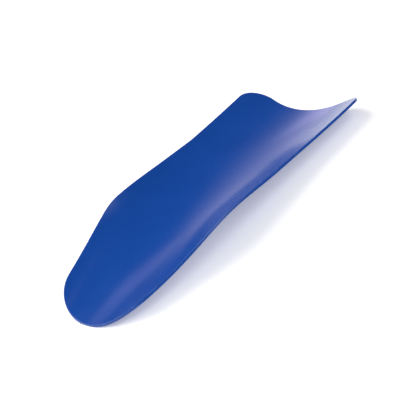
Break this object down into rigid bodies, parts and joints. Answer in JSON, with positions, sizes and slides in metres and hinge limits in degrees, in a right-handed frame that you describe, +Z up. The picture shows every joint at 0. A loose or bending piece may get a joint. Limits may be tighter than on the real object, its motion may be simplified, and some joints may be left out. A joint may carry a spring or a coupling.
{
  "type": "sock aid shell",
  "caption": "Bare moulded trough for putting on socks: rounded tongue, parallel body and flared, scooped wide end, in satin blue plastic.",
  "frame": {"origin": "Middle of the footprint on the surface the shell rests on, trough side up.", "axes": "+Z is up out of the trough, +Y runs along it from the tongue to the wide end, +X is to the right."},
  "size_m": [0.1164, 0.3072, 0.0276],
  "materials": {
    "shell_plastic": "satin moulded plastic, fine even grain, slightly softened edges"
  },
  "bodies": {
    "root": {"shell": "shell_plastic"}
  },
  "joints": []
}
